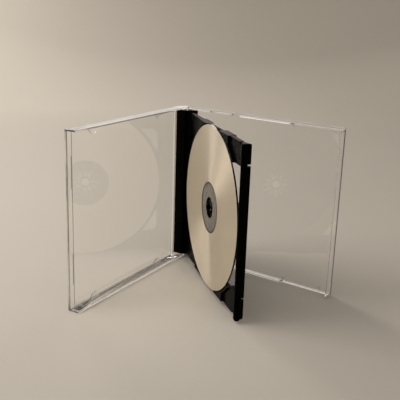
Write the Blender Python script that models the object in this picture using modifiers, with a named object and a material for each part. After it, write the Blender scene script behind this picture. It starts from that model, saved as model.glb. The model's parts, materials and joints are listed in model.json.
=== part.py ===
"""Double CD case, standing open like a book: clear lid, clear base, black hinge strip, black swing tray, one disc.

Every leaf is drawn lying flat, with X running from its hinge to its free edge, Y along the hinge and
Z through the thickness, towards the lid side. The hinge empties then stand the leaves up and open them.
"""

import math

import bpy
import bmesh

MM = 0.001

# The disc that everything is made to hold.
DISC_RADIUS = 60.0 * MM
DISC_HOLE_RADIUS = 7.5 * MM
DISC_THICKNESS = 1.2 * MM
DISC_EDGE_CHAMFER = 0.15 * MM
STACK_RING_RADIUS = 16.8 * MM
STACK_RING_WIDTH = 0.8 * MM
STACK_RING_HEIGHT = 0.15 * MM

# Clearances.
GAP = 0.3 * MM
RECESS_GAP = 0.7 * MM
DISC_TO_PANEL = 0.6 * MM
RIM_TO_PANEL = 0.4 * MM
END_BAR_TO_PANEL = 0.7 * MM
PAD_TO_PANEL = 0.9 * MM
TAB_TO_TRAY = 0.4 * MM
TRAY_SIDE_GAP = 1.3 * MM
STRIP_BELOW_FRONT = 0.4 * MM

# The two clear shells.
CASE_THICKNESS = 10.4 * MM
PANEL = 1.2 * MM
LID_WALL = 1.1 * MM
LOW_WALL = 0.8 * MM
END_WALL = 1.2 * MM
PIVOT_TO_SPINE = 5.5 * MM
PIVOT_TO_LID_PANEL = 9.0 * MM
PIVOT_TO_TRAY_AXIS = 6.0 * MM
LID_PIN_RADIUS = 2.0 * MM
CHEEK_REACH = 7.0 * MM
CHEEK_ROUND = 4.0 * MM
PANEL_NOTCH_REACH = 0.5 * MM
EAR_SHOULDER = 2.5 * MM

# Low side walls of the base, in stretches that follow each other from the pivot to the end wall.
SIDE_WALL_LOW = 2.6 * MM
SIDE_WALL_TALL = 4.8 * MM
FIRST_STRETCH = 24.0 * MM
FIRST_BREAK = 3.0 * MM
SECOND_STRETCH = 17.0 * MM
SECOND_BREAK = 7.0 * MM
TALL_STRETCH = 45.0 * MM
LAST_BREAK = 1.0 * MM
STRIP_RIB = 1.0 * MM
STRIP_RIB_HEIGHT = 0.6 * MM
PIP_RADIUS = 1.1 * MM
PIP_HEIGHT = 0.4 * MM
PIP_FROM_END = 9.5 * MM
PIP_PITCH = 31.0 * MM

# Booklet tabs and the thick margin inside the lid.
TAB_FROM_PIVOT = 33.0 * MM
TAB_FROM_FREE_EDGE = 25.0 * MM
TAB_HALF_LENGTH = 5.0 * MM
TAB_DEPTH = 4.8 * MM
TAB_THICKNESS = 1.0 * MM
BOOKLET_ROOM = 1.1 * MM
MARGIN_WIDTH = 4.7 * MM
MARGIN_STEP = 0.2 * MM
STOP_RIB_LENGTH = 22.0 * MM
STOP_RIB_WIDTH = 0.9 * MM
STOP_RIB_HEIGHT = 0.4 * MM
STOP_RIB_FROM_MIDDLE = 33.5 * MM

# Hinge strip.
STRIP_SKIN = 1.2 * MM
STRIP_FOOT = 0.8 * MM
STRIP_FOOT_REACH = 10.6 * MM
LUG_LENGTH = 2.2 * MM
TRAY_PIN_RADIUS = 1.1 * MM
MARK_HEIGHT = 0.3 * MM
MARK_FROM_TOP = 5.5 * MM
MARK_PITCH = 5.5 * MM
MARK_SIZE = 3.0 * MM

# Swing tray.
TRAY_FLOOR = 1.6 * MM
TRAY_RIM = 1.0 * MM
RING_WALL = 1.7 * MM
RING_OVERLAP = 5.0 * MM
WINDOW_INTO_RING = 0.2 * MM
HINGE_TO_RECESS = 6.6 * MM
END_BAR = 8.3 * MM
SIDE_BAR = 15.5 * MM
HINGE_BAR = 8.5 * MM
PAD_HALF_LENGTH = 33.0 * MM
PAD_WIDTH = 12.0 * MM
WINDOW_UNDER_DISC = 13.0 * MM
HINGE_SPOKE = 51.0 * MM
END_SPOKE = 35.0 * MM
WINDOW_CORNER = 6.5 * MM
WINDOW_FILLET = 1.5 * MM
NARROW_FILLET = 0.7 * MM
FINGER_NOTCH_RADIUS = 1.9 * MM
FINGER_NOTCH_DEPTH = 3.9 * MM
FINGER_NOTCH_FROM_SIDE_BAR = 11.5 * MM
EDGE_SLIT = 1.2 * MM
EDGE_SLIT_DEPTH = 3.0 * MM
EDGE_SLIT_FROM_SIDE = 13.7 * MM
SCALLOP_RADIUS = 1.6 * MM
TRAY_CORNER = 2.5 * MM
END_BAR_ROUND = 1.2 * MM

# Hub: a thin middle with slots right through it, whose fingers carry a tooth on one side each, by turns.
HUB_GAP = 0.3 * MM
HUB_HOLE_RADIUS = 3.2 * MM
HUB_TO_PANEL = 0.4 * MM
TOOTH_WALL = 1.2 * MM
HUB_SEAT_RADIUS = 17.0 * MM
HUB_SEAT_WIDTH = 3.0 * MM
HUB_STEP_RADIUS = 22.5 * MM
HUB_STEP_HEIGHT = 0.5 * MM
FINGER_COUNT = 12
FINGER_SLOT = 1.4 * MM
FINGER_SLOT_START = 4.7 * MM
FINGER_SLOT_END = 10.6 * MM

# How far the leaves stand open, from the closed case.
LID_ANGLE = math.radians(84.0)
TRAY_ANGLE = math.radians(37.0)

ROUND_STEPS = 96
SMALL_ROUND_STEPS = 24
BEYOND = 20.0 * MM
SUNK = 0.25 * MM
RELIEF = 0.1 * MM

# Sizes that follow from the ones above.
HALF = CASE_THICKNESS / 2
INNER = HALF - PANEL
RIM = INNER - RIM_TO_PANEL
BASE_WALL_START = LID_WALL + GAP
HEIGHT = 2 * (BASE_WALL_START + LOW_WALL + GAP + DISC_RADIUS)
MIDDLE = HEIGHT / 2
RECESS_RADIUS = DISC_RADIUS + RECESS_GAP
TRAY_LENGTH = HINGE_TO_RECESS + 2 * RECESS_RADIUS + TRAY_RIM
DISC_CENTRE = HINGE_TO_RECESS + RECESS_RADIUS
BASE_END = PIVOT_TO_TRAY_AXIS + TRAY_LENGTH + GAP + END_WALL
END_WALL_TOP = INNER - PAD_TO_PANEL
SPINE = -PIVOT_TO_SPINE
SPINE_INNER = SPINE + PANEL
STRIP_FRONT = HALF - STRIP_BELOW_FRONT
TAB_UNDER = INNER - BOOKLET_ROOM - TAB_THICKNESS
LEAF_HALF = TAB_UNDER - TAB_TO_TRAY
DISC_TOP = INNER - DISC_TO_PANEL
DISC_UNDER = DISC_TOP - DISC_THICKNESS
SEAT = DISC_UNDER - STACK_RING_HEIGHT - GAP
PAD_HALF = INNER - PAD_TO_PANEL
END_BAR_HALF = INNER - END_BAR_TO_PANEL
BARREL_RADIUS = INNER - 2 * GAP - STRIP_FOOT
STRIP_START = BASE_WALL_START + LOW_WALL + GAP
BARREL_START = STRIP_START + LUG_LENGTH + GAP
TRAY_START = BASE_WALL_START + LOW_WALL + TRAY_SIDE_GAP
TRAY_HALF_HEIGHT = MIDDLE - TRAY_START
WINDOW_TOP = TRAY_HALF_HEIGHT - SIDE_BAR
RING_OUTER = RECESS_RADIUS + RING_WALL
HUB_RADIUS = DISC_HOLE_RADIUS - HUB_GAP
HUB_TOP = INNER - HUB_TO_PANEL


def clear_scene():
    for old in list(bpy.data.objects):
        bpy.data.objects.remove(old)


def new_collection(name, parent):
    made = bpy.data.collections.new(name)
    parent.children.link(made)
    return made


def new_material(name, colour, roughness, alpha=1.0, metallic=0.0):
    made = bpy.data.materials.new(name)
    made.use_nodes = True
    shader = made.node_tree.nodes["Principled BSDF"]
    shader.inputs["Base Color"].default_value = (*colour, 1.0)
    shader.inputs["Roughness"].default_value = roughness
    shader.inputs["Metallic"].default_value = metallic
    shader.inputs["Alpha"].default_value = alpha
    made.diffuse_color = (*colour, alpha)
    return made


def empty(name, location, turn, parent=None):
    made = bpy.data.objects.new(name, None)
    made.empty_display_size = 10 * MM
    made.location = location
    made.rotation_euler = turn
    made.parent = parent
    CASE.objects.link(made)
    return made


def mesh_object(name, shape):
    mesh = bpy.data.meshes.new(name)
    shape.to_mesh(mesh)
    shape.free()
    made = bpy.data.objects.new(name, mesh)
    HELPERS.objects.link(made)
    return made


def block(name, x, y, z):
    """A box from its lowest and highest x, y and z."""
    shape = bmesh.new()
    bmesh.ops.create_cube(shape, size=1.0)
    for corner in shape.verts:
        corner.co = [low + (part + 0.5) * (high - low) for part, (low, high) in zip(corner.co, (x, y, z))]
    return mesh_object(name, shape)


def rod(name, radius, centre, low, high, along="Z", steps=SMALL_ROUND_STEPS, top_radius=None):
    """A cylinder or a cone along Z at (x, y), or along Y at (x, z)."""
    shape = bmesh.new()
    top = radius if top_radius is None else top_radius
    bmesh.ops.create_cone(shape, cap_ends=True, segments=steps, radius1=radius, radius2=top, depth=high - low)
    for corner in shape.verts:
        x, y, z = corner.co
        z += (low + high) / 2
        corner.co = (centre[0] + x, centre[1] + y, z) if along == "Z" else (centre[0] + x, z, centre[1] - y)
    return mesh_object(name, shape)


def arc(centre, radius, start, end, steps):
    """Points along an arc, with its angles in degrees."""
    angles = [math.radians(start + (end - start) * i / steps) for i in range(steps + 1)]
    return [(centre[0] + radius * math.cos(a), centre[1] + radius * math.sin(a)) for a in angles]


def slab(name, outline, low, high, along="Z"):
    """A flat outline given thickness: drawn in XY and thick along Z, or drawn in XZ and thick along Y."""
    curve = bpy.data.curves.new(name, "CURVE")
    curve.dimensions = "2D"
    curve.fill_mode = "BOTH"
    curve.extrude = (high - low) / 2
    spline = curve.splines.new("POLY")
    spline.points.add(len(outline) - 1)
    for point, (x, y) in zip(spline.points, outline):
        point.co = (x, y, 0.0, 1.0)
    spline.use_cyclic_u = True
    drawn = bpy.data.objects.new(name + "_outline", curve)
    HELPERS.objects.link(drawn)
    seen = drawn.evaluated_get(bpy.context.evaluated_depsgraph_get())
    shape = bmesh.new()
    shape.from_mesh(bpy.data.meshes.new_from_object(seen))
    bpy.data.objects.remove(drawn)
    bmesh.ops.remove_doubles(shape, verts=shape.verts, dist=1e-7)
    for corner in shape.verts:
        x, y, z = corner.co
        z += (low + high) / 2
        corner.co = (x, y, z) if along == "Z" else (x, z, y)
    bmesh.ops.recalc_face_normals(shape, faces=shape.faces)
    return mesh_object(name, shape)


def turned(name, profile, centre, steps):
    """A ring or disc turned about Z from a closed profile of (radius, z), whose outer side runs downwards."""
    shape = bmesh.new()
    corners = [shape.verts.new((radius, 0.0, z)) for radius, z in profile]
    for first, second in zip(corners, corners[1:] + corners[:1]):
        shape.edges.new((first, second))
    made = mesh_object(name, shape)
    made.location = (centre[0], centre[1], 0.0)
    screw = made.modifiers.new("turn", "SCREW")
    screw.steps = steps
    screw.render_steps = steps
    screw.use_merge_vertices = True
    screw.merge_threshold = 1e-6
    return made


def helper_group(name, members):
    """Shapes that are joined to a piece or cut from it, out of the render."""
    group = new_collection(name, HELPERS)
    for member in members:
        HELPERS.objects.unlink(member)
        group.objects.link(member)
        member.hide_render = True
        member.display_type = "WIRE"
    return group


def combine(piece, operation, name, members):
    step = piece.modifiers.new(name, "BOOLEAN")
    step.operation = operation
    step.solver = "EXACT"
    step.operand_type = "COLLECTION"
    step.collection = helper_group(name, members)
    for member in members:
        member.parent = piece


def add(piece, name, members):
    combine(piece, "UNION", name, members)


def cut(piece, name, members):
    combine(piece, "DIFFERENCE", name, members)


def finish(piece, material, hinge):
    """Moves a piece into the case, on its hinge, and shades its round faces smooth."""
    HELPERS.objects.unlink(piece)
    CASE.objects.link(piece)
    piece.parent = hinge
    piece.data.materials.append(material)
    piece.data.shade_smooth()
    piece.data.set_sharp_from_angle(angle=math.radians(35))
    return piece


def both_ends(low, high):
    """The same stretch at the bottom and at the top of the case."""
    return [(low, high), (HEIGHT - high, HEIGHT - low)]


def make_lid(hinge):
    end = BASE_END
    shoulder = arc((0.0, 0.0), RIM, 270, 120, 16)
    wall = shoulder + [(EAR_SHOULDER, HALF), (end, HALF), (end, -RIM)]
    lid = slab("lid", wall, 0.0, HEIGHT, along="Y")
    inside = (LID_WALL, HEIGHT - LID_WALL)
    cut(lid, "lid_hollow", [
        block("lid_pocket", (-BEYOND, end + BEYOND), inside, (-BEYOND, INNER)),
        block("lid_between_ears", (-BEYOND, PIVOT_TO_LID_PANEL), inside, (-BEYOND, BEYOND)),
    ])
    parts = []
    for i, (low, high) in enumerate(both_ends(LID_WALL - SUNK, STRIP_START - GAP)):
        if i:
            low, high = high, low
        parts.append(rod(f"lid_pin_{i}", LID_PIN_RADIUS, (0.0, 0.0), min(low, high), max(low, high), along="Y"))
    for i, place in enumerate((TAB_FROM_PIVOT, end - TAB_FROM_FREE_EDGE)):
        for side, (start, turn) in {"bottom": (LID_WALL - SUNK, 1), "top": (HEIGHT - LID_WALL + SUNK, -1)}.items():
            angles = [math.pi * step / 12 for step in range(13)]
            tab = [(place + TAB_HALF_LENGTH * math.cos(a), start + turn * (SUNK + TAB_DEPTH * math.sin(a)))
                   for a in angles]
            tab = [(place + TAB_HALF_LENGTH, start)] + tab + [(place - TAB_HALF_LENGTH, start)]
            parts.append(slab(f"lid_tab_{side}_{i}", tab, TAB_UNDER, TAB_UNDER + TAB_THICKNESS))
    step_start = end - MARGIN_WIDTH
    parts.append(block("lid_margin", (step_start, end - SUNK), (LID_WALL - SUNK, HEIGHT - LID_WALL + SUNK),
                       (INNER - MARGIN_STEP, INNER + SUNK)))
    for i, side in enumerate((-1, 1)):
        middle = MIDDLE + side * STOP_RIB_FROM_MIDDLE
        parts.append(block(f"lid_stop_rib_{i}", (step_start + GAP, step_start + GAP + STOP_RIB_WIDTH),
                           (middle - STOP_RIB_LENGTH / 2, middle + STOP_RIB_LENGTH / 2),
                           (INNER - STOP_RIB_HEIGHT, INNER + SUNK)))
    add(lid, "lid_fittings", parts)
    return finish(lid, CLEAR, hinge)


def side_wall_outline():
    """The cheek that holds the lid's pin, then the broken low wall, with its root sunk in the panel."""
    bottom = -HALF + PANEL / 2
    root = -INNER - SUNK
    low = SIDE_WALL_LOW - INNER
    tall = SIDE_WALL_TALL - INNER
    end = BASE_END - END_WALL / 2
    second = FIRST_STRETCH + FIRST_BREAK
    third = second + SECOND_STRETCH + SECOND_BREAK
    last = third + TALL_STRETCH + LAST_BREAK
    outline = [(SPINE + SUNK, bottom), (end, bottom), (end, low), (last, low), (last, root)]
    for start, length, top in ((third, TALL_STRETCH, tall), (second, SECOND_STRETCH, low)):
        outline += [(start + length, root), (start + length, top), (start, top), (start, root)]
    outline += [(FIRST_STRETCH, root), (FIRST_STRETCH, low), (CHEEK_REACH, low)]
    outline += arc((CHEEK_REACH - CHEEK_ROUND, RIM - CHEEK_ROUND), CHEEK_ROUND, 0, 90, 10)
    outline.append((SPINE + SUNK, RIM))
    return outline


def make_base(hinge):
    edge = BASE_WALL_START
    inner_end = BASE_END - END_WALL
    section = [(SPINE, -HALF), (BASE_END, -HALF), (BASE_END, END_WALL_TOP), (inner_end, END_WALL_TOP),
               (inner_end, -INNER), (SPINE_INNER, -INNER), (SPINE_INNER, STRIP_FRONT), (SPINE, STRIP_FRONT)]
    base = slab("base", section, 0.0, HEIGHT, along="Y")
    ends = []
    for i, stretch in enumerate(((-BEYOND, edge), (HEIGHT - edge, HEIGHT + BEYOND))):
        ends.append(block(f"base_corner_{i}", (-BEYOND, PANEL_NOTCH_REACH), stretch, (-BEYOND, BEYOND)))
        ends.append(block(f"base_end_wall_end_{i}", (inner_end - BEYOND, BASE_END + BEYOND), stretch,
                          (RELIEF - INNER, BEYOND)))
    cut(base, "base_ends", ends)
    sunk = -HALF + PANEL / 2
    outline = side_wall_outline()
    walls = [slab(f"base_side_wall_{i}", outline, low, high, along="Y")
             for i, (low, high) in enumerate(both_ends(edge + RELIEF, edge + LOW_WALL))]
    walls.append(block("base_strip_rib", (STRIP_FOOT_REACH + GAP, STRIP_FOOT_REACH + GAP + STRIP_RIB),
                       (STRIP_START + STRIP_FOOT_REACH, HEIGHT - STRIP_START - STRIP_FOOT_REACH),
                       (sunk, STRIP_RIB_HEIGHT - INNER)))
    last_pip = BASE_END - PIP_FROM_END
    for i, place in enumerate((last_pip - PIP_PITCH, last_pip)):
        for side, y in enumerate((TRAY_START, HEIGHT - TRAY_START)):
            walls.append(rod(f"base_pip_{i}_{side}", PIP_RADIUS, (place, y), sunk, PIP_HEIGHT - INNER,
                             top_radius=PIP_RADIUS / 2))
    add(base, "base_walls", walls)
    cut(base, "base_pivot_holes", [
        rod(f"base_pivot_hole_{i}", LID_PIN_RADIUS + GAP, (0.0, 0.0), low, high, along="Y")
        for i, (low, high) in enumerate(both_ends(edge - GAP, edge + LOW_WALL + GAP))
    ])
    return finish(base, CLEAR, hinge)


def make_strip(hinge):
    axis = PIVOT_TO_TRAY_AXIS
    left = SPINE_INNER + GAP
    bottom = -INNER + GAP
    web = axis - BARREL_RADIUS - GAP
    lip = axis - LEAF_HALF - GAP
    channel = [
        (left, bottom), (left + STRIP_SKIN, bottom), (left + STRIP_SKIN, STRIP_FRONT - STRIP_SKIN),
        (web - STRIP_SKIN, STRIP_FRONT - STRIP_SKIN), (web - STRIP_SKIN, bottom),
        (STRIP_FOOT_REACH, bottom), (STRIP_FOOT_REACH, bottom + STRIP_FOOT), (web, bottom + STRIP_FOOT),
        (web, STRIP_FRONT - STRIP_SKIN), (lip, STRIP_FRONT - STRIP_SKIN), (lip, STRIP_FRONT),
        (left, STRIP_FRONT),
    ]
    ends = (STRIP_START, HEIGHT - STRIP_START)
    strip = slab("hinge_strip", channel, *ends, along="Y")
    lug = [(web - STRIP_SKIN / 2, -BARREL_RADIUS)] + arc((axis, 0.0), BARREL_RADIUS, -90, 90, 16)
    lug += [(web - STRIP_SKIN / 2, BARREL_RADIUS)]
    parts = [slab(f"strip_lug_{i}", lug, low, high, along="Y")
             for i, (low, high) in enumerate(both_ends(STRIP_START, STRIP_START + LUG_LENGTH))]
    middle = (left + lip) / 2
    raised = (STRIP_FRONT - SUNK, STRIP_FRONT + MARK_HEIGHT)
    top = HEIGHT - STRIP_START - MARK_FROM_TOP
    arrow = [(middle - MARK_SIZE / 2, top - MARK_SIZE / 2), (middle + MARK_SIZE / 2, top - MARK_SIZE / 2),
             (middle, top + MARK_SIZE / 2)]
    parts.append(slab("strip_arrow", arrow, *raised))
    for i in (1, 2):
        y = top - i * MARK_PITCH
        parts.append(block(f"strip_bar_{i}", (middle - MARK_SIZE, middle + MARK_SIZE),
                           (y - MARK_SIZE / 4, y + MARK_SIZE / 4), raised))
    add(strip, "strip_parts", parts)
    cut(strip, "strip_sockets", [
        rod(f"strip_socket_{i}", TRAY_PIN_RADIUS + GAP, (axis, 0.0), low, high, along="Y")
        for i, (low, high) in enumerate(both_ends(STRIP_START - GAP, STRIP_START + LUG_LENGTH + GAP))
    ])
    return finish(strip, BLACK, hinge)


def window_outlines():
    """The openings round the disc, about its centre: those by the hinge stop at the ring wall, and those
    by the end bar run in under the disc's rim."""
    top = WINDOW_TOP
    found = {}
    for name, edge, spoke, radius, corner, fillet in (
        ("hinge", HINGE_BAR - DISC_CENTRE, HINGE_SPOKE / 2, RING_OUTER - WINDOW_INTO_RING, WINDOW_CORNER,
         NARROW_FILLET),
        ("end", TRAY_LENGTH - END_BAR - DISC_CENTRE, END_SPOKE / 2, DISC_RADIUS - WINDOW_UNDER_DISC,
         WINDOW_FILLET, WINDOW_FILLET),
    ):
        side = math.copysign(1.0, edge)
        reach = abs(edge)
        low = math.degrees(math.asin(spoke / radius))
        high = math.degrees(math.asin(top / radius))
        fillet = min(fillet, (reach - radius * math.cos(math.radians(low))) / 2)
        outline = arc((0.0, 0.0), radius, low, high, 16)
        outline += arc((reach - corner, top - corner), corner, 90, 0, 8)
        outline += arc((reach - fillet, spoke + fillet), fillet, 0, -90, 4)
        found[name] = [(side * x, y) for x, y in outline]
    return found


def ring_sector(name, start, end):
    """A stretch of the wall round the disc's place, which the recesses then trim on its inner side."""
    centre = (DISC_CENTRE, MIDDLE)
    steps = round((end - start) / 5)
    outer = arc(centre, RING_OUTER, start, end, steps)
    inner = arc(centre, RECESS_RADIUS - RING_WALL, end, start, steps)
    return slab(name, outer + inner, -PAD_HALF, PAD_HALF)


def hub_tooth(name, angle, low, high):
    """A tooth that holds the disc's hole, reaching into the slots beside it, which then trim it."""
    centre = (DISC_CENTRE, MIDDLE)
    reach = 180 / FINGER_COUNT - math.degrees(FINGER_SLOT / 4 / HUB_RADIUS)
    outer = arc(centre, HUB_RADIUS, angle - reach, angle + reach, 6)
    inner = arc(centre, HUB_RADIUS - TOOTH_WALL, angle + reach, angle - reach, 6)
    return slab(name, outer + inner, low, high)


def corner_cutter(name, side):
    """What lies outside a rounded free corner of the tray. Its facets touch the round with their middles."""
    steps = 6
    radius = TRAY_CORNER / math.cos(math.radians(45 / steps))
    outline = arc((0.0, 0.0), radius, 0, 90, steps)
    outline += [(0.0, BEYOND), (BEYOND, BEYOND), (BEYOND, 0.0)]
    corner = (TRAY_LENGTH - TRAY_CORNER, MIDDLE + side * (TRAY_HALF_HEIGHT - TRAY_CORNER))
    return slab(name, [(corner[0] + x, corner[1] + side * y) for x, y in outline], -BEYOND, BEYOND)


def make_tray(hinge):
    centre = (DISC_CENTRE, MIDDLE)
    bottom = TRAY_START
    top = HEIGHT - TRAY_START
    hinge_side = BARREL_RADIUS + GAP
    end = TRAY_LENGTH
    inset = (bottom + RELIEF, top - RELIEF)
    leaf_end = end - END_BAR / 2
    leaf = [(0.0, BARREL_START), (hinge_side, BARREL_START), (hinge_side, inset[0]), (leaf_end, inset[0]),
            (leaf_end, inset[1]), (hinge_side, inset[1]), (hinge_side, HEIGHT - BARREL_START),
            (0.0, HEIGHT - BARREL_START)]
    tray = slab("swing_tray", leaf, -LEAF_HALF, LEAF_HALF)
    tray_parts = [
        rod("tray_barrel", BARREL_RADIUS, (0.0, 0.0), BARREL_START, HEIGHT - BARREL_START, along="Y"),
        rod("tray_pins", TRAY_PIN_RADIUS, (0.0, 0.0), STRIP_START + GAP, HEIGHT - STRIP_START - GAP, along="Y"),
    ]
    bar = []
    for turn, (x, z) in enumerate(((1, 1), (-1, 1), (-1, -1), (1, -1))):
        corner = (end - END_BAR / 2 + x * (END_BAR / 2 - END_BAR_ROUND), z * (END_BAR_HALF - END_BAR_ROUND))
        bar += arc(corner, END_BAR_ROUND, 90 * turn, 90 * turn + 90, 4)
    tray_parts.append(slab("tray_end_bar", bar, bottom, top, along="Y"))
    for i, side in enumerate((-1, 1)):
        edge = MIDDLE + side * TRAY_HALF_HEIGHT
        tray_parts.append(block(f"tray_pad_{i}", (DISC_CENTRE - PAD_HALF_LENGTH, DISC_CENTRE + PAD_HALF_LENGTH),
                                sorted((edge, edge - side * PAD_WIDTH)), (-PAD_HALF, PAD_HALF)))
    into_pad = math.degrees(math.acos((PAD_HALF_LENGTH - RING_OVERLAP) / RING_OUTER))
    over_window = math.degrees(math.asin((WINDOW_TOP - RING_OVERLAP) / RING_OUTER))
    tray_parts.append(ring_sector("tray_ring_hinge", 180 - into_pad, 180 + into_pad))
    tray_parts.append(ring_sector("tray_ring_top", over_window, into_pad))
    tray_parts.append(ring_sector("tray_ring_bottom", -into_pad, -over_window))
    add(tray, "tray_solids", tray_parts)

    floor = TRAY_FLOOR / 2
    cuts = [
        rod("recess_front", RECESS_RADIUS, centre, floor, BEYOND, steps=ROUND_STEPS),
        rod("recess_back", RECESS_RADIUS, centre, -BEYOND, -floor, steps=ROUND_STEPS),
    ]
    for name, outline in window_outlines().items():
        for side in (-1, 1):
            placed = [(centre[0] + x, centre[1] + side * y) for x, y in outline]
            cuts.append(slab(f"window_{name}_{side + 1}", placed, -BEYOND, BEYOND))
    inner_edge = end - END_BAR
    for side in (-1, 1):
        y = MIDDLE + side * (WINDOW_TOP - FINGER_NOTCH_FROM_SIDE_BAR)
        notch = FINGER_NOTCH_RADIUS
        notch_centre = inner_edge + FINGER_NOTCH_DEPTH - notch
        cuts.append(rod(f"finger_notch_{side + 1}", notch, (notch_centre, y), -BEYOND, BEYOND))
        cuts.append(block(f"finger_notch_mouth_{side + 1}", (inner_edge - notch, notch_centre),
                          (y - notch, y + notch), (-BEYOND, BEYOND)))
        y = MIDDLE + side * (TRAY_HALF_HEIGHT - EDGE_SLIT_FROM_SIDE)
        cuts.append(block(f"edge_slit_{side + 1}", (end - EDGE_SLIT_DEPTH, end + BEYOND),
                          (y - EDGE_SLIT / 2, y + EDGE_SLIT / 2), (-BEYOND, BEYOND)))
        y = MIDDLE + side * TRAY_HALF_HEIGHT
        cuts.append(rod(f"scallop_{side + 1}", SCALLOP_RADIUS, (inner_edge, y), -BEYOND, BEYOND))
        cuts.append(corner_cutter(f"corner_{side + 1}", side))
    cut(tray, "tray_openings", cuts)

    step = floor + HUB_STEP_HEIGHT
    seat_inner = HUB_SEAT_RADIUS - HUB_SEAT_WIDTH
    hub_parts = [turned("hub", [
        (seat_inner, SEAT), (HUB_SEAT_RADIUS, SEAT), (HUB_SEAT_RADIUS, step), (HUB_STEP_RADIUS, step),
        (HUB_STEP_RADIUS, -step), (HUB_SEAT_RADIUS, -step), (HUB_SEAT_RADIUS, -SEAT), (seat_inner, -SEAT),
    ], centre, ROUND_STEPS // 2)]
    for i in range(FINGER_COUNT):
        low, high = (-HUB_TOP, 0.0) if i % 2 else (0.0, HUB_TOP)
        hub_parts.append(hub_tooth(f"hub_tooth_{i}", 360 * (i + 0.5) / FINGER_COUNT, low, high))
    add(tray, "tray_hub", hub_parts)
    slots = [rod("hub_hole", HUB_HOLE_RADIUS, centre, -BEYOND, BEYOND)]
    for i in range(FINGER_COUNT):
        slot = block(f"hub_slot_{i}", (FINGER_SLOT_START, FINGER_SLOT_END), (-FINGER_SLOT / 2, FINGER_SLOT / 2),
                     (-BEYOND, BEYOND))
        slot.location = (centre[0], centre[1], 0.0)
        slot.rotation_euler = (0.0, 0.0, 2 * math.pi * i / FINGER_COUNT)
        slots.append(slot)
    cut(tray, "tray_slots", slots)
    return finish(tray, BLACK, hinge)


def make_disc(hinge):
    ring = STACK_RING_RADIUS
    half = STACK_RING_WIDTH / 2
    edge = DISC_EDGE_CHAMFER
    disc = turned("disc", [
        (DISC_HOLE_RADIUS, DISC_TOP), (DISC_RADIUS - edge, DISC_TOP), (DISC_RADIUS, DISC_TOP - edge),
        (DISC_RADIUS, DISC_UNDER + edge), (DISC_RADIUS - edge, DISC_UNDER), (ring + half, DISC_UNDER),
        (ring + half / 2, DISC_UNDER - STACK_RING_HEIGHT), (ring - half / 2, DISC_UNDER - STACK_RING_HEIGHT),
        (ring - half, DISC_UNDER), (DISC_HOLE_RADIUS, DISC_UNDER),
    ], (DISC_CENTRE, MIDDLE), ROUND_STEPS)
    return finish(disc, CREAM, hinge)


clear_scene()
CASE = new_collection("double_cd_case", bpy.context.scene.collection)
HELPERS = new_collection("cutters_and_additions", bpy.context.scene.collection)
HELPERS.hide_render = True

CLEAR = new_material("clear_polystyrene", (0.86, 0.87, 0.85), 0.05, alpha=0.3)
BLACK = new_material("black_polystyrene", (0.012, 0.012, 0.013), 0.25)
CREAM = new_material("printable_disc", (0.62, 0.56, 0.44), 0.4)

# The box round the open case is centred on the origin: its sides are the spine, the base's free edge,
# the base's outer face and the lid's free corner.
LID_REACH = BASE_END * math.sin(LID_ANGLE) + HALF * math.cos(LID_ANGLE)
PIVOT = (-(BASE_END + SPINE) / 2, (LID_REACH - HALF) / 2, 0.0)
UPRIGHT = math.pi / 2

base_frame = empty("base_frame", PIVOT, (UPRIGHT, 0.0, 0.0))
lid_hinge = empty("lid_hinge", PIVOT, (UPRIGHT, 0.0, -LID_ANGLE))
tray_hinge = empty("tray_hinge", (PIVOT[0] + PIVOT_TO_TRAY_AXIS, PIVOT[1], 0.0), (UPRIGHT, 0.0, -TRAY_ANGLE))

make_base(base_frame)
make_strip(base_frame)
make_lid(lid_hinge)
make_tray(tray_hinge)
make_disc(tray_hinge)
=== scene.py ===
"""Looks of the double CD case: clear plastic leaves, a black strip and swing tray, and one printable disc.

Each leaf is drawn lying flat in millimetres, with X running from its hinge to its free edge, Y along the
hinge and Z through the thickness towards the lid side, and is then stood up and opened on its hinge.
"""

import json
import math

import bpy
import bmesh
from mathutils import Matrix, Vector

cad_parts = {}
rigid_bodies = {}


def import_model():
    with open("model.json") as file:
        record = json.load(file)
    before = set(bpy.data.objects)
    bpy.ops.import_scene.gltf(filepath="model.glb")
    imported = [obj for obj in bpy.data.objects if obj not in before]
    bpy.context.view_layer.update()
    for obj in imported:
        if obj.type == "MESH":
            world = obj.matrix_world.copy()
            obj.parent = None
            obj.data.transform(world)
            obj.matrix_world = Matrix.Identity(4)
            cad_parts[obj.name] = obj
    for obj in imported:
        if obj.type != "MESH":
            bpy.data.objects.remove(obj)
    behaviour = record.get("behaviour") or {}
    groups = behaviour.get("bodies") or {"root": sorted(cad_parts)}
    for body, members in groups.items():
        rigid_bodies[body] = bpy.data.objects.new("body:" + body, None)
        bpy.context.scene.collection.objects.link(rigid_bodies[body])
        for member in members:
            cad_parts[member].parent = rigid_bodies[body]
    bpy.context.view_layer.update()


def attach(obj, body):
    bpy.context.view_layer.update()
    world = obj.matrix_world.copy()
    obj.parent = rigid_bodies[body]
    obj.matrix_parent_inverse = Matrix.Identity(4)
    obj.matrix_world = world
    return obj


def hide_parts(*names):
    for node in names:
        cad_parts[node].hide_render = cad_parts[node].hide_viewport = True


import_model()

# Sizes in millimetres.
GAP = 0.3
HEIGHT = 125.0
MIDDLE = HEIGHT / 2

# Both clear leaves: half the case's thickness, a panel's own, and the heights that follow.
HALF = 5.2
PANEL = 1.2
INNER = HALF - PANEL
RIM = INNER - 0.4
PIN = 2.0

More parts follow.
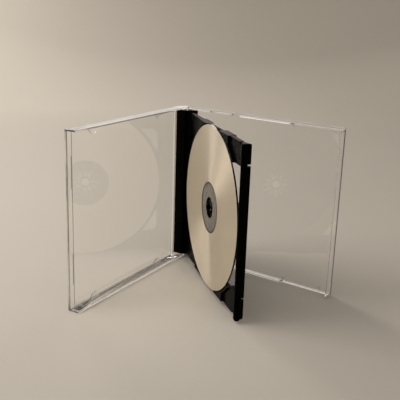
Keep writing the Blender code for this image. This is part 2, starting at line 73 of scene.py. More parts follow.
# Base.
BASE_END = 136.5
END_WALL = 1.2
END_WALL_TOP = INNER - 0.9
SPINE = -5.5
SPINE_INNER = SPINE + PANEL
EDGE = 1.4
LOW_WALL = 0.8
WALL_LOW = 2.6
WALL_TALL = 4.8
CHEEK_REACH = 7.0
CHEEK_ROUND = 4.0
FIRST_END = 24.0
SECOND_STRETCH = (27.0, 44.0)
TALL_STRETCH = (51.0, 96.0)
LAST_START = 97.0
STRIP_RIB = 1.0
STRIP_RIB_HEIGHT = 0.6
PIPS = (96.0, 127.0)
PIP = 1.1
PIP_TOP = 0.6
PIP_HEIGHT = 0.4

# Lid.
LID_WALL = 1.1
LID_PANEL_START = 9.0
EAR_SHOULDER = 2.5
TAB_UNDER = INNER - 1.1 - 1.0
TAB_PLACES = (33.0, 111.5)
TAB_HALF_LENGTH = 5.0
TAB_DEPTH = 4.8
MARGIN = 4.7
MARGIN_DEPTH = 0.3
STOP_FROM_MIDDLE = 33.5
STOP_HALF_LENGTH = 11.0
FILLET = 1.2

# Hinge strip.
STRIP_START = EDGE + LOW_WALL + GAP
STRIP_FRONT = 4.8
STRIP_SKIN = 1.2
STRIP_FOOT = 0.8
STRIP_FOOT_REACH = 10.6
LUG_LENGTH = 2.2
MARK_PITCH = 5.5
MARK_HEIGHT = 0.3
MARK_HALF = 1.5

# Swing tray, with X from its own hinge.
TRAY_AXIS = 6.0
TRAY_LENGTH = 129.0
TRAY_START = EDGE + LOW_WALL + 1.3
TRAY_HALF_HEIGHT = MIDDLE - TRAY_START
LEAF_HALF = TAB_UNDER - 0.4
BARREL = 2.6
BARREL_START = STRIP_START + LUG_LENGTH + GAP
TRAY_PIN = 1.1
CENTRE_X = 67.3
CENTRE = (CENTRE_X, MIDDLE)
RECESS = 60.7
RING_WALL = 1.7
RING_OUTER = RECESS + RING_WALL
FLOOR_HALF = 0.8
PAD_HALF = INNER - 0.9
PAD_HALF_LENGTH = 33.0
PAD_WIDTH = 12.0
RING_INTO_PAD = 5.0
END_BAR = 8.3
END_BAR_HALF = INNER - 0.7
HINGE_BAR = 8.5
SIDE_BAR = 15.5
WINDOW_END = 124.0
HINGE_SPOKE_HALF = 25.5
END_SPOKE_HALF = 17.5
NOTCH = 1.9
NOTCH_DEPTH = 1.8
NOTCH_FROM_MIDDLE = 32.0
SLIT_HALF = 0.7
SLIT_FROM_MIDDLE = 45.3
SCALLOP = 1.6

# Hub.
HUB_TOP = INNER - 0.4
HUB_RADIUS = 7.2
HUB_WALL = 1.2
HUB_BORE = 3.2
TEETH = 12
TOOTH_GAP = 0.35
SLOT = (4.7, 10.6)
SLOT_HALF = 0.85
SEAT = 1.75
SEAT_RADIUS = 17.0
SEAT_WIDTH = 3.0
STEP_RADIUS = 22.5
STEP_HEIGHT = 0.5

# Disc.
DISC_TOP = INNER - 0.6
DISC_UNDER = DISC_TOP - 1.2
DISC_RADIUS = 60.0
DISC_HOLE = 7.5
DISC_EDGE = 0.15
STACK_RING = 16.8
SILVER_EDGES = (22.0, 59.3)
BORDER_EDGES = (17.55, 18.68)
CREAM_EDGES = (18.7, 59.75)

LID_ANGLE = math.radians(84.0)
TRAY_ANGLE = math.radians(37.0)
LID_REACH = BASE_END * math.sin(LID_ANGLE) + HALF * math.cos(LID_ANGLE)
PIVOT = Vector((-(BASE_END + SPINE) / 2, (LID_REACH - HALF) / 2, 0.0))


def leaf_matrix(axis, angle):
    """From a leaf lying flat, in millimetres, to the standing, open case, in metres."""
    stand = Matrix.Rotation(math.pi / 2, 4, "X")
    turn = Matrix.Rotation(-angle, 4, "Z")
    place = Matrix.Translation(axis / 1000)
    return place @ turn @ stand @ Matrix.Scale(0.001, 4)


BASE_LEAF = leaf_matrix(PIVOT, 0.0)
LID_LEAF = leaf_matrix(PIVOT, LID_ANGLE)
TRAY_LEAF = leaf_matrix(PIVOT + Vector((TRAY_AXIS, 0.0, 0.0)), TRAY_ANGLE)

# How far cutters reach past a piece, and how deep a part's root sits in what carries it.
FAR = 20.0
SUNK = 0.25

workshop = bpy.data.collections.new("workshop")
bpy.context.scene.collection.children.link(workshop)


# Shapes

def rounded(point):
    return [round(value, 3) for value in point]


def shape_object(name, shape):
    for corner in shape.verts:
        corner.co = rounded(corner.co)
    mesh = bpy.data.meshes.new(name)
    shape.to_mesh(mesh)
    shape.free()
    made = bpy.data.objects.new(name, mesh)
    workshop.objects.link(made)
    return made


def block(x, y, z):
    shape = bmesh.new()
    bmesh.ops.create_cube(shape, size=1.0)
    for corner in shape.verts:
        corner.co = [low + (part + 0.5) * (high - low) for part, (low, high) in zip(corner.co, (x, y, z))]
    return shape_object("block", shape)


def rod(radius, centre, low, high, along="Z", steps=48, top_radius=None):
    shape = bmesh.new()
    top = radius if top_radius is None else top_radius
    bmesh.ops.create_cone(shape, cap_ends=True, segments=steps, radius1=radius, radius2=top, depth=high - low)
    for corner in shape.verts:
        x, y, z = corner.co
        z += (low + high) / 2
        corner.co = (centre[0] + x, centre[1] + y, z) if along == "Z" else (centre[0] + x, z, centre[1] - y)
    return shape_object("rod", shape)


def arc(centre, radius, start, end, steps):
    angles = [math.radians(start + (end - start) * i / steps) for i in range(steps + 1)]
    return [(centre[0] + radius * math.cos(a), centre[1] + radius * math.sin(a)) for a in angles]


def slab(outline, low, high, along="Z"):
    """A closed outline given thickness: drawn in XY, XZ or YZ and thick along the axis that is left."""
    tidy = []
    for point in outline:
        if not tidy or math.dist(point, tidy[-1]) > 0.002:
            tidy.append(point)
    shape = bmesh.new()
    layers = []
    for level in (low, high):
        layer = []
        for x, y in tidy:
            spot = {"X": (level, x, y), "Y": (x, level, y), "Z": (x, y, level)}[along]
            layer.append(shape.verts.new(spot))
        layers.append(layer)
    for layer in layers:
        shape.faces.new(layer)
    count = len(tidy)
    for i in range(count):
        j = (i + 1) % count
        shape.faces.new((layers[0][i], layers[0][j], layers[1][j], layers[1][i]))
    bmesh.ops.recalc_face_normals(shape, faces=shape.faces)
    return shape_object("slab", shape)


def turned(profile, centre, steps):
    """A ring turned about Z from a closed profile of (radius, z)."""
    shape = bmesh.new()
    rings = []
    for i in range(steps):
        angle = 2 * math.pi * i / steps
        c, s = math.cos(angle), math.sin(angle)
        rings.append([shape.verts.new((centre[0] + r * c, centre[1] + r * s, z)) for r, z in profile])
    for i in range(steps):
        a, b = rings[i], rings[(i + 1) % steps]
        for j in range(len(profile)):
            k = (j + 1) % len(profile)
            shape.faces.new((a[j], b[j], b[k], a[k]))
    bmesh.ops.recalc_face_normals(shape, faces=shape.faces)
    return shape_object("turned", shape)


def settled(made):
    """The object with its modifiers applied."""
    seen = made.evaluated_get(bpy.context.evaluated_depsgraph_get())
    mesh = bpy.data.meshes.new_from_object(seen)
    made.modifiers.clear()
    old = made.data
    made.data = mesh
    bpy.data.meshes.remove(old)
    return made


def combine(made, operation, members):
    group = bpy.data.collections.new("operands")
    bpy.context.scene.collection.children.link(group)
    for member in members:
        workshop.objects.unlink(member)
        group.objects.link(member)
    step = made.modifiers.new(operation, "BOOLEAN")
    step.operation = operation
    step.solver = "EXACT"
    step.operand_type = "COLLECTION"
    step.collection = group
    settled(made)
    for member in list(group.objects):
        bpy.data.objects.remove(member)
    bpy.data.collections.remove(group)
    return made


def bevelled(made, width, segments=2, angle=40, clamp=True):
    """Every sharp edge rounded a little, as a moulding's are."""
    shape = bmesh.new()
    shape.from_mesh(made.data)
    bmesh.ops.dissolve_limit(shape, angle_limit=math.radians(0.5), verts=shape.verts, edges=shape.edges)
    bmesh.ops.remove_doubles(shape, verts=shape.verts, dist=0.004)
    shape.to_mesh(made.data)
    shape.free()
    step = made.modifiers.new("edges", "BEVEL")
    step.width = width
    step.segments = segments
    step.limit_method = "ANGLE"
    step.angle_limit = math.radians(angle)
    step.use_clamp_overlap = clamp
    step.miter_outer = "MITER_ARC"
    return settled(made)


def placed(made, name, leaf, body, material, node, smooth=50, middle=None):
    """Takes a finished piece to its leaf and body, with its origin at the middle if one is given."""
    made.name = name
    made.data.name = name
    if middle:
        at_middle = leaf @ Matrix.Translation(middle)
        turned_only = Matrix.Translation(at_middle.translation) @ at_middle.to_3x3().normalized().to_4x4()
        made.data.transform(turned_only.inverted() @ leaf)
        made.matrix_world = turned_only
    else:
        made.data.transform(leaf)
    made.data.materials.clear()
    made.data.materials.append(material)
    made.data.shade_smooth()
    made.data.set_sharp_from_angle(angle=math.radians(smooth))
    weigh = made.modifiers.new("weigh", "WEIGHTED_NORMAL")
    weigh.keep_sharp = True
    workshop.objects.unlink(made)
    bpy.context.scene.collection.objects.link(made)
    settled(made)
    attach(made, body)
    if node:
        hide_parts(node)
    return made


def both_ends(low, high):
    return [(low, high), (HEIGHT - high, HEIGHT - low)]


# Materials

def node_material(name):
    made = bpy.data.materials.new(name)
    made.use_nodes = True
    nodes = made.node_tree.nodes
    links = made.node_tree.links
    return made, nodes, links, nodes["Principled BSDF"]


def noise(nodes, links, scale, detail, roughness=0.5):
    where = nodes.new("ShaderNodeTexCoord")
    found = nodes.new("ShaderNodeTexNoise")
    found.inputs["Scale"].default_value = scale
    found.inputs["Detail"].default_value = detail
    found.inputs["Roughness"].default_value = roughness
    links.new(where.outputs["Object"], found.inputs["Vector"])
    return found


def two_tones(nodes, links, found, first, second, shader):
    """The base colour wanders between two close tones."""
    made = nodes.new("ShaderNodeMix")
    made.data_type = "RGBA"
    made.inputs[6].default_value = (*first, 1.0)
    made.inputs[7].default_value = (*second, 1.0)
    links.new(found.outputs["Fac"], made.inputs[0])
    links.new(made.outputs[2], shader.inputs["Base Color"])


def spread(nodes, links, source, low, high):
    """The middle of a noise, from 0.3 to 0.7, stretched over a range."""
    made = nodes.new("ShaderNodeMapRange")
    made.inputs["From Min"].default_value = 0.3
    made.inputs["From Max"].default_value = 0.7
    made.inputs["To Min"].default_value = low
    made.inputs["To Max"].default_value = high
    links.new(source, made.inputs["Value"])
    return made.outputs["Result"]


def bump(nodes, links, height, strength, distance):
    made = nodes.new("ShaderNodeBump")
    made.inputs["Strength"].default_value = strength
    made.inputs["Distance"].default_value = distance
    links.new(height, made.inputs["Height"])
    return made.outputs["Normal"]


def lets_lamps_through(nodes, links, shader, tint):
    """Lamp light passes the clear plastic, so that it casts only a faint shadow."""
    path = nodes.new("ShaderNodeLightPath")
    clear = nodes.new("ShaderNodeBsdfTransparent")
    glance = nodes.new("ShaderNodeFresnel")
    glance.inputs["IOR"].default_value = 1.45
    pass_on = nodes.new("ShaderNodeMix")
    pass_on.data_type = "RGBA"
    pass_on.inputs[6].default_value = (*tint, 1.0)
    pass_on.inputs[7].default_value = (0.0, 0.0, 0.0, 1.0)
    links.new(glance.outputs["Fac"], pass_on.inputs[0])
    links.new(pass_on.outputs[2], clear.inputs["Color"])
    mix = nodes.new("ShaderNodeMixShader")
    links.new(path.outputs["Is Shadow Ray"], mix.inputs["Fac"])
    links.new(shader.outputs["BSDF"], mix.inputs[1])
    links.new(clear.outputs["BSDF"], mix.inputs[2])
    links.new(mix.outputs["Shader"], nodes["Material Output"].inputs["Surface"])


def clear_plastic(name, colour, roughness, ior, painted_glow=0.0):
    made, nodes, links, shader = node_material(name)
    shader.inputs["Base Color"].default_value = (*colour, 1.0)
    shader.inputs["IOR"].default_value = ior
    shader.inputs["Transmission Weight"].default_value = 1.0
    # The faint warm emission is a painted glow: it stands in for light carried inside the clear plastic to its
    # edges.
    shader.inputs["Emission Color"].default_value = (1.0, 0.92, 0.84, 1.0)
    shader.inputs["Emission Strength"].default_value = painted_glow
    haze = noise(nodes, links, 45.0, 3.0)
    links.new(spread(nodes, links, haze.outputs["Fac"], roughness * 0.5, roughness * 1.6),
              shader.inputs["Roughness"])
    ripple = noise(nodes, links, 28.0, 1.0)
    links.new(bump(nodes, links, ripple.outputs["Fac"], 0.06, 0.0006), shader.inputs["Normal"])
    lets_lamps_through(nodes, links, shader, (0.94, 0.94, 0.93))
    return made


def black_plastic():
    made, nodes, links, shader = node_material("black_polystyrene")
    shader.inputs["IOR"].default_value = 1.5
    shader.inputs["Specular IOR Level"].default_value = 0.015
    tone = noise(nodes, links, 60.0, 3.0)
    two_tones(nodes, links, tone, (0.001, 0.0009, 0.0008), (0.0022, 0.002, 0.0018), shader)
    smear = noise(nodes, links, 90.0, 4.0, 0.6)
    links.new(spread(nodes, links, smear.outputs["Fac"], 0.16, 0.3), shader.inputs["Roughness"])
    grain = noise(nodes, links, 900.0, 2.0)
    links.new(bump(nodes, links, grain.outputs["Fac"], 0.05, 0.0002), shader.inputs["Normal"])
    return made


def printable_face():
    made, nodes, links, shader = node_material("printable_cream")
    tone = noise(nodes, links, 35.0, 3.0)
    two_tones(nodes, links, tone, (0.61, 0.525, 0.405), (0.65, 0.56, 0.435), shader)
    shader.inputs["IOR"].default_value = 1.45
    rough = noise(nodes, links, 400.0, 2.0)
    links.new(spread(nodes, links, rough.outputs["Fac"], 0.6, 0.68), shader.inputs["Roughness"])
    grooves = nodes.new("ShaderNodeTangent")
    grooves.direction_type = "RADIAL"
    grooves.axis = "Z"
    links.new(grooves.outputs["Tangent"], shader.inputs["Tangent"])
    shader.inputs["Anisotropic"].default_value = 0.9
    shader.inputs["Anisotropic Rotation"].default_value = 0.25
    shader.inputs["Metallic"].default_value = 0.38
    tooth = noise(nodes, links, 2600.0, 2.0)
    links.new(bump(nodes, links, tooth.outputs["Fac"], 0.06, 0.0001), shader.inputs["Normal"])
    return made


# A near-black brown ring of painted shade, where the printed face meets the clear centre.
def painted_border_shade():
    made, nodes, links, shader = node_material("painted_border_shade")
    tone = noise(nodes, links, 300.0, 2.0)
    two_tones(nodes, links, tone, (0.05, 0.038, 0.02), (0.08, 0.062, 0.036), shader)
    shader.inputs["Specular IOR Level"].default_value = 0.1
    shader.inputs["Roughness"].default_value = 0.5
    return made


def recording_face():
    made, nodes, links, shader = node_material("recording_silver")
    shader.inputs["Metallic"].default_value = 1.0
    tone = noise(nodes, links, 20.0, 1.0)
    two_tones(nodes, links, tone, (0.62, 0.68, 0.66), (0.68, 0.74, 0.71), shader)
    links.new(spread(nodes, links, tone.outputs["Fac"], 0.12, 0.18), shader.inputs["Roughness"])
    return made


CLEAR = clear_plastic("clear_polystyrene", (0.985, 0.985, 0.98), 0.02, 1.59, 0.011)
BLACK = black_plastic()
CREAM = printable_face()
SILVER = recording_face()
BORDER_SHADE = painted_border_shade()
CORE = clear_plastic("clear_polycarbonate", (0.63, 0.575, 0.475), 0.03, 1.58)


# Lid

def make_lid():
    end = BASE_END
    wall = arc((0.0, 0.0), RIM, 270, 120, 48) + [(EAR_SHOULDER, HALF), (end, HALF), (end, -RIM)]
    lid = slab(wall, 0.0, HEIGHT, along="Y")
    inside = (LID_WALL, HEIGHT - LID_WALL)
    combine(lid, "DIFFERENCE", [
        block((-FAR, end + FAR), inside, (-FAR, INNER)),
        block((-FAR, LID_PANEL_START), inside, (-FAR, FAR)),
    ])
    bevelled(lid, 0.24, 4, clamp=False)
    parts = []
    for low, high in both_ends(LID_WALL - SUNK, STRIP_START - GAP):
        parts.append(rod(PIN, (0.0, 0.0), low, high, along="Y"))
    for place in TAB_PLACES:
        for start, turn in ((LID_WALL - SUNK, 1), (HEIGHT - LID_WALL + SUNK, -1)):
            angles = [math.pi * step / 32 for step in range(33)]
            tab = [(place + TAB_HALF_LENGTH * math.cos(a), start + turn * (SUNK + TAB_DEPTH * math.sin(a)))
                   for a in angles]
            tab = [(place + TAB_HALF_LENGTH, start)] + tab + [(place - TAB_HALF_LENGTH, start)]
            parts.append(bevelled(slab(tab, TAB_UNDER + 0.2, TAB_UNDER + 0.8), 0.28, 3, clamp=False))
    step_start = end - MARGIN
    step_level = INNER - MARGIN_DEPTH
    in_panel = INNER + 0.1
    margin = [(step_start, in_panel), (step_start, INNER), (step_start + 0.1, step_level),
              (end - 0.7, step_level), (end - 0.4, INNER), (end - 0.4, in_panel)]
    parts.append(slab(margin, LID_WALL - SUNK, HEIGHT - LID_WALL + SUNK, along="Y"))
    for near, out in ((LID_WALL, 1), (HEIGHT - LID_WALL, -1)):
        corner = [(near - out * SUNK, in_panel), (near - out * SUNK, INNER - FILLET)]
        corner += [(near + out * FILLET * (1 - math.cos(a)), INNER - FILLET * (1 - math.sin(a)))
                   for a in [math.pi / 2 * i / 8 for i in range(9)]]
        corner.append((near + out * FILLET, in_panel))
        parts.append(slab(corner, LID_PANEL_START + 0.5, end - 0.5, along="X"))
    ridge = [(step_start + 0.2, in_panel), (step_start + 0.2, INNER - 0.2), (step_start + 0.75, INNER - 0.7),
             (step_start + 1.3, INNER - 0.2), (step_start + 1.3, in_panel)]
    for side in (-1, 1):
        middle = MIDDLE + side * STOP_FROM_MIDDLE
        parts.append(slab(ridge, middle - STOP_HALF_LENGTH, middle + STOP_HALF_LENGTH, along="Y"))
    combine(lid, "UNION", parts)
    groove = [(step_start - 0.8, INNER - 0.1), (step_start - 0.1, INNER - 0.1),
              (step_start - 0.4, INNER + 0.4)]
    combine(lid, "DIFFERENCE", [slab(groove, LID_WALL + FILLET, HEIGHT - LID_WALL - FILLET, along="Y")])
    return placed(lid, "lid_shell", LID_LEAF, "lid", CLEAR, "lid")


# Base

def side_wall_outline():
    bottom = -HALF + PANEL / 2
    root = -INNER - SUNK
    low = WALL_LOW - INNER
    tall = WALL_TALL - INNER
    end = BASE_END - END_WALL / 2
    outline = [(SPINE + SUNK, bottom), (end, bottom), (end, low), (LAST_START, low), (LAST_START, root)]
    for (start, stop), top in ((TALL_STRETCH, tall), (SECOND_STRETCH, low)):
        outline += [(stop, root), (stop, top), (start, top), (start, root)]
    outline += [(FIRST_END, root), (FIRST_END, low), (CHEEK_REACH, low)]
    outline += arc((CHEEK_REACH - CHEEK_ROUND, RIM - CHEEK_ROUND), CHEEK_ROUND, 0, 90, 24)
    outline.append((SPINE + SUNK, RIM))
    return outline


def make_base():
    inner_end = BASE_END - END_WALL
    section = [(SPINE, -HALF), (BASE_END, -HALF), (BASE_END, END_WALL_TOP), (inner_end, END_WALL_TOP),
               (inner_end, -INNER), (SPINE_INNER, -INNER), (SPINE_INNER, STRIP_FRONT), (SPINE, STRIP_FRONT)]
    base = slab(section, 0.0, HEIGHT, along="Y")
    ends = []
    for stretch in ((-FAR, EDGE), (HEIGHT - EDGE, HEIGHT + FAR)):
        ends.append(block((-FAR, 0.5), stretch, (-FAR, FAR)))
        ends.append(block((inner_end - FAR, BASE_END + FAR), stretch, (-INNER, FAR)))
    combine(base, "DIFFERENCE", ends)
    bevelled(base, 0.24, 4, clamp=False)
    sunk = -HALF + PANEL / 2
    walls = [bevelled(slab(side_wall_outline(), low, high, along="Y"), 0.26, 3, clamp=False)
             for low, high in both_ends(EDGE, EDGE + LOW_WALL)]
    rib = STRIP_FOOT_REACH + GAP
    rib_start = STRIP_START + STRIP_FOOT_REACH
    walls.append(block((rib, rib + STRIP_RIB), (rib_start, HEIGHT - rib_start),
                       (sunk, STRIP_RIB_HEIGHT - INNER)))
    for place in PIPS:
        for y in (TRAY_START, HEIGHT - TRAY_START):
            walls.append(rod(PIP, (place, y), sunk, PIP_HEIGHT - INNER, top_radius=PIP_TOP, steps=32))
    combine(base, "UNION", walls)
    combine(base, "DIFFERENCE", [rod(PIN + GAP, (0.0, 0.0), low, high, along="Y")
                                 for low, high in both_ends(EDGE - 0.3, EDGE + LOW_WALL + 0.3)])
    return placed(base, "base_shell", BASE_LEAF, "base", CLEAR, "base")


# Hinge strip

def make_strip():
    left = SPINE_INNER + GAP
    bottom = -INNER + GAP
    web = TRAY_AXIS - BARREL - GAP
    lip = TRAY_AXIS - LEAF_HALF - GAP
    under = STRIP_FRONT - STRIP_SKIN
    foot_top = bottom + STRIP_FOOT
    channel = [(left, bottom), (left + STRIP_SKIN, bottom), (left + STRIP_SKIN, under),
               (web - STRIP_SKIN, under), (web - STRIP_SKIN, bottom), (STRIP_FOOT_REACH, bottom),
               (STRIP_FOOT_REACH, foot_top), (web, foot_top), (web, under), (lip, under), (lip, STRIP_FRONT),
               (left, STRIP_FRONT)]
    strip = slab(channel, STRIP_START, HEIGHT - STRIP_START, along="Y")
    lug_root = web - STRIP_SKIN / 2
    lug = [(lug_root, -BARREL)] + arc((TRAY_AXIS, 0.0), BARREL, -90, 90, 32) + [(lug_root, BARREL)]
    parts = [slab(lug, low, high, along="Y")
             for low, high in both_ends(STRIP_START, STRIP_START + LUG_LENGTH)]
    middle = (left + lip) / 2
    top = HEIGHT - STRIP_START - MARK_PITCH
    raised = (STRIP_FRONT - SUNK, STRIP_FRONT + MARK_HEIGHT)
    triangle = [(middle - MARK_HALF, top - MARK_HALF), (middle + MARK_HALF, top - MARK_HALF),
                (middle, top + MARK_HALF)]
    parts.append(slab(triangle, *raised))
    for i in (1, 2):
        y = top - i * MARK_PITCH
        parts.append(block((middle - 2 * MARK_HALF, middle + 2 * MARK_HALF),
                           (y - MARK_HALF / 2, y + MARK_HALF / 2), raised))
    combine(strip, "UNION", parts)
    sockets = both_ends(STRIP_START - 0.3, STRIP_START + LUG_LENGTH + 0.3)
    combine(strip, "DIFFERENCE", [rod(TRAY_PIN + GAP, (TRAY_AXIS, 0.0), low, high, along="Y")
                                  for low, high in sockets])
    bevelled(strip, 0.15)
    return placed(strip, "strip", BASE_LEAF, "base", BLACK, "hinge_strip")


# Swing tray

def window_outlines():
    top = TRAY_HALF_HEIGHT - SIDE_BAR
    found = []
    for edge, spoke, radius, corner, fillet in (
        (HINGE_BAR - CENTRE_X, HINGE_SPOKE_HALF, RING_OUTER - 0.2, 6.5, 0.7),
        (WINDOW_END - CENTRE_X, END_SPOKE_HALF, DISC_RADIUS - 13.0, 0.4, 1.5),
    ):
        side = math.copysign(1.0, edge)
        reach = abs(edge)
        low = math.degrees(math.asin(spoke / radius))
        high = math.degrees(math.asin(top / radius))
        outline = arc((0.0, 0.0), radius, low, high, 32)
        outline += arc((reach - corner, top - corner), corner, 90, 0, 16)
        outline += arc((reach - fillet, spoke + fillet), fillet, 0, -90, 8)
        found.append([(side * x, y) for x, y in outline])
    return found


def ring_sector(start, end):
    """A stretch of the rim, which the recesses then cut to its width."""
    steps = int((end - start) / 2.5)
    outer = arc(CENTRE, RING_OUTER, start, end, steps)
    inner = arc(CENTRE, RECESS - RING_WALL, end, start, steps)
    return slab(outer + inner, -PAD_HALF, PAD_HALF)


def end_bar():
    """A bar whose front and back slope down to the leaf beside the windows, with rounded ends."""
    bottom = TRAY_START - 1.0
    top = HEIGHT - TRAY_START
    end = TRAY_LENGTH
    section = [(end - END_BAR, -LEAF_HALF), (WINDOW_END, -LEAF_HALF), (end - 1.6, -END_BAR_HALF),
               (end, -END_BAR_HALF), (end, END_BAR_HALF), (end - 1.6, END_BAR_HALF), (WINDOW_END, LEAF_HALF),
               (end - END_BAR, LEAF_HALF)]
    return bevelled(slab(section, bottom, top, along="Y"), 0.9, 4, 60)


def foot():
    """The rounded lower tip of the end bar, which stays clear of the side walls when the case is shut."""
    level = TRAY_START - 2.2
    outline = [(level + 3.0, -3.2), (level + 1.85, -2.6), (level + 1.1, -1.1), (level + 0.4, -0.6),
               (level, 0.3), (level, 1.6), (level + 0.6, 2.7), (level + 1.8, 3.2), (level + 3.0, 3.25)]
    return bevelled(slab(outline, TRAY_LENGTH - 2.6, TRAY_LENGTH - 0.1, along="X"), 0.4, 3)


def hub_tooth(angle, low, high):
    reach = 180 / TEETH - math.degrees(TOOTH_GAP / HUB_RADIUS)
    outer = arc(CENTRE, HUB_RADIUS, angle - reach, angle + reach, 12)
    return slab(outer + arc(CENTRE, HUB_RADIUS - HUB_WALL, angle + reach, angle - reach, 12), low, high)


def make_tray():
    end = TRAY_LENGTH
    low, high = TRAY_START + 0.1, HEIGHT - TRAY_START - 0.1
    leaf_end = end - END_BAR / 2
    root = BARREL + GAP
    leaf = [(0.0, BARREL_START), (root, BARREL_START), (root, low), (leaf_end, low), (leaf_end, high),
            (root, high), (root, HEIGHT - BARREL_START), (0.0, HEIGHT - BARREL_START)]
    tray = slab(leaf, -LEAF_HALF, LEAF_HALF)
    parts = [
        rod(BARREL, (0.0, 0.0), BARREL_START, HEIGHT - BARREL_START, along="Y"),
        rod(TRAY_PIN, (0.0, 0.0), STRIP_START + GAP, HEIGHT - STRIP_START - GAP, along="Y", steps=32),
        end_bar(),
        foot(),
    ]
    for side in (-1, 1):
        edge = MIDDLE + side * TRAY_HALF_HEIGHT
        parts.append(block((CENTRE_X - PAD_HALF_LENGTH, CENTRE_X + PAD_HALF_LENGTH),
                           sorted((edge, edge - side * PAD_WIDTH)), (-PAD_HALF, PAD_HALF)))
    into_pad = math.degrees(math.acos((PAD_HALF_LENGTH - RING_INTO_PAD) / RING_OUTER))
    over_window = math.degrees(math.asin((TRAY_HALF_HEIGHT - SIDE_BAR - 0.2) / RING_OUTER))
    parts += [ring_sector(180 - into_pad, 180 + into_pad), ring_sector(over_window, into_pad),
              ring_sector(-into_pad, -over_window)]
    combine(tray, "UNION", parts)

    cuts = [rod(RECESS, CENTRE, *levels, steps=256) for levels in ((FLOOR_HALF, FAR), (-FAR, -FLOOR_HALF))]
    for outline in window_outlines():
        for side in (-1, 1):
            cuts.append(slab([(CENTRE_X + x, MIDDLE + side * y) for x, y in outline], -FAR, FAR))
    inner_edge = end - END_BAR
    notch_end = WINDOW_END + NOTCH_DEPTH
    for side in (-1, 1):
        y = MIDDLE + side * NOTCH_FROM_MIDDLE
        cuts.append(rod(NOTCH, (notch_end, y), -FAR, FAR))
        cuts.append(block((WINDOW_END - NOTCH, notch_end), (y - NOTCH, y + NOTCH), (-FAR, FAR)))
        y = MIDDLE + side * SLIT_FROM_MIDDLE
        cuts.append(block((inner_edge - 1.0, end + FAR), (y - SLIT_HALF, y + SLIT_HALF), (-FAR, -FLOOR_HALF)))
        cuts.append(rod(SCALLOP, (inner_edge, MIDDLE + side * TRAY_HALF_HEIGHT), -FAR, FAR))
    combine(tray, "DIFFERENCE", cuts)

    step = FLOOR_HALF + STEP_HEIGHT
    seat_inner = SEAT_RADIUS - SEAT_WIDTH
    hub = [turned([
        (seat_inner, SEAT), (SEAT_RADIUS, SEAT), (SEAT_RADIUS, step), (STEP_RADIUS, step), (STEP_RADIUS, -step),
        (SEAT_RADIUS, -step), (SEAT_RADIUS, -SEAT), (seat_inner, -SEAT),
    ], CENTRE, 144)]
    for i in range(TEETH):
        hub.append(hub_tooth(360 / TEETH * (i + 0.5), *((-HUB_TOP, 0.0) if i % 2 else (0.0, HUB_TOP))))
    combine(tray, "UNION", hub)
    slots = [rod(HUB_BORE, CENTRE, -FAR, FAR)]
    for i in range(TEETH):
        angle = 2 * math.pi * i / TEETH
        slot = block(SLOT, (-SLOT_HALF, SLOT_HALF), (-FAR, FAR))
        slot.data.transform(Matrix.Translation((*CENTRE, 0.0)) @ Matrix.Rotation(angle, 4, "Z"))
        for corner in slot.data.vertices:
            corner.co = rounded(corner.co)
        slots.append(slot)
    combine(tray, "DIFFERENCE", slots)
    bevelled(tray, 0.14)
    return placed(tray, "tray", TRAY_LEAF, "tray", BLACK, "swing_tray")


# Disc

def make_disc():
    """The clear core, and on it the silver, a dark ring of painted shade at the cream's inner edge and the cream
    face, each a thin layer of its own.
    """
    core_top = DISC_TOP - 0.08
    rim = DISC_RADIUS - DISC_EDGE
    top_edge, under_edge = core_top - DISC_EDGE, DISC_UNDER + DISC_EDGE
    ring_top = DISC_UNDER - 0.15
    core = turned([
        (DISC_HOLE + DISC_EDGE, core_top), (rim, core_top), (DISC_RADIUS, top_edge), (DISC_RADIUS, under_edge),
        (rim, DISC_UNDER), (STACK_RING + 0.4, DISC_UNDER), (STACK_RING + 0.2, ring_top),
        (STACK_RING - 0.2, ring_top), (STACK_RING - 0.4, DISC_UNDER), (DISC_HOLE + DISC_EDGE, DISC_UNDER),
        (DISC_HOLE, under_edge), (DISC_HOLE, top_edge),
    ], CENTRE, 256)
    placed(core, "disc_core", TRAY_LEAF, "tray", CORE, "disc", smooth=30)

    inner, outer = SILVER_EDGES
    low, high = DISC_TOP - 0.07, DISC_TOP - 0.055
    silver = turned([(inner, low), (outer, low), (outer, high), (inner, high)], CENTRE, 256)
    placed(silver, "disc_recording_layer", TRAY_LEAF, "tray", SILVER, None, smooth=30)

    # A thin dark ring of painted shade along the cream's inner edge.
    inner, outer = BORDER_EDGES
    low, high = core_top - SUNK, DISC_TOP - 0.03
    border = turned([(inner, low), (outer, low), (outer, high), (inner, high)], CENTRE, 192)
    placed(border, "disc_painted_shade_ring", TRAY_LEAF, "tray", BORDER_SHADE, None, smooth=30)

    inner, outer = CREAM_EDGES
    low, high = DISC_TOP - 0.045, DISC_TOP - 0.01
    cream = turned([(inner, low), (outer, low), (outer, high), (outer - 0.05, DISC_TOP), (inner + 0.05, DISC_TOP),
                    (inner, high)], CENTRE, 256)
    placed(cream, "disc_printable_layer", TRAY_LEAF, "tray", CREAM, None, smooth=30,
           middle=(*CENTRE, DISC_TOP))


make_lid()
make_base()
make_strip()
make_tray()
make_disc()
bpy.data.collections.remove(workshop)


# Floor and backdrop, one sheet that curves up behind the case

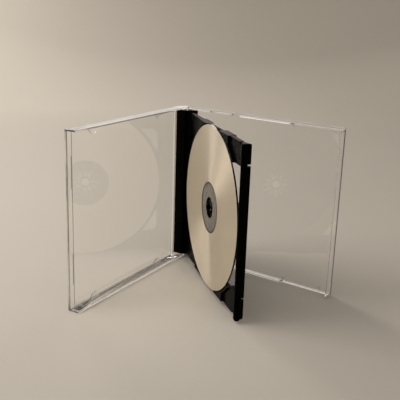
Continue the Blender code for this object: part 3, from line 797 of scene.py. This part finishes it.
def make_stage():
    flat, bend, top = 0.9, 0.6, 1.5
    profile = [(flat / 2, 0.0), (flat, 0.0)]
    profile += [(flat + bend * math.sin(a), bend - bend * math.cos(a)) for a in
                [math.pi / 2 * i / 20 for i in range(1, 21)]]
    profile.append((flat + bend, top))
    shape = bmesh.new()
    middle = shape.verts.new((0.0, 0.0, 0.0))
    steps = 96
    rings = []
    around = [2 * math.pi * i / steps for i in range(steps)]
    for radius, z in profile:
        rings.append([shape.verts.new((radius * math.cos(a), radius * math.sin(a), z)) for a in around])
    for i in range(steps):
        j = (i + 1) % steps
        shape.faces.new((middle, rings[0][i], rings[0][j]))
        for a, b in zip(rings, rings[1:]):
            shape.faces.new((a[i], b[i], b[j], a[j]))
    mesh = bpy.data.meshes.new("studio_sweep")
    shape.to_mesh(mesh)
    shape.free()
    mesh.shade_smooth()
    sweep = bpy.data.objects.new("studio_sweep", mesh)
    sweep.location.z = -0.00015
    bpy.context.scene.collection.objects.link(sweep)
    made, nodes, links, shader = node_material("warm_paper")
    grain = noise(nodes, links, 3.0, 2.0)
    two_tones(nodes, links, grain, (0.60, 0.545, 0.47), (0.63, 0.575, 0.495), shader)
    shader.inputs["Roughness"].default_value = 0.8
    mesh.materials.append(made)


make_stage()


# Lamps and world

def lamp(name, place, aim, size, power, colour):
    made = bpy.data.lights.new(name, "AREA")
    made.shape = "RECTANGLE"
    made.size, made.size_y = size
    made.energy = power
    made.color = colour
    lit = bpy.data.objects.new(name, made)
    lit.location = place
    lit.rotation_euler = (Vector(aim) - Vector(place)).to_track_quat("-Z", "Y").to_euler()
    bpy.context.scene.collection.objects.link(lit)
    return lit


WARM = (1.0, 0.97, 0.93)
lamp("overhead", (0.02, -0.12, 0.85), (0.0, -0.02, 0.0), (0.75, 0.3), 1.2, WARM)
lamp("left", (-0.54, -0.34, 0.5), (-0.16, 0.05, 0.0), (0.55, 0.55), 3.1, WARM)
lamp("back_left", (-1.25, 0.55, 0.7), (-0.45, 0.25, 0.0), (0.4, 0.4), 4.9, WARM)
lamp("behind", (-0.72, 1.0, 0.45), (0.0, 0.0, 0.6), (1.3, 0.38), 1.3, WARM)

world = bpy.data.worlds.new("studio")
world.use_nodes = True
world.node_tree.nodes["Background"].inputs["Color"].default_value = (0.9, 0.9, 0.92, 1.0)
world.node_tree.nodes["Background"].inputs["Strength"].default_value = 0.3
bpy.context.scene.world = world
bpy.context.scene.view_settings.view_transform = "Standard"

# Camera, whose place is in millimetres from the lid's hinge

camera = bpy.data.cameras.new("camera")
camera.sensor_width = 36.0
camera.lens = 61.67
camera.clip_start = 0.01
eye = bpy.data.objects.new("camera", camera)
yaw, pitch, roll = (math.radians(a) for a in (-35.83, -16.05, 1.94))
forward = Vector((math.sin(yaw) * math.cos(pitch), math.cos(yaw) * math.cos(pitch), math.sin(pitch)))
right = forward.cross(Vector((0.0, 0.0, 1.0))).normalized()
up = right.cross(forward)
tilted_right = math.cos(roll) * right + math.sin(roll) * up
tilted_up = -math.sin(roll) * right + math.cos(roll) * up
turn = Matrix((tilted_right, tilted_up, -forward)).transposed()
place = (PIVOT + Vector((329.9, -431.7, 204.4))) / 1000
eye.matrix_world = Matrix.Translation(place) @ turn.to_4x4()
bpy.context.scene.collection.objects.link(eye)
bpy.context.scene.camera = eye
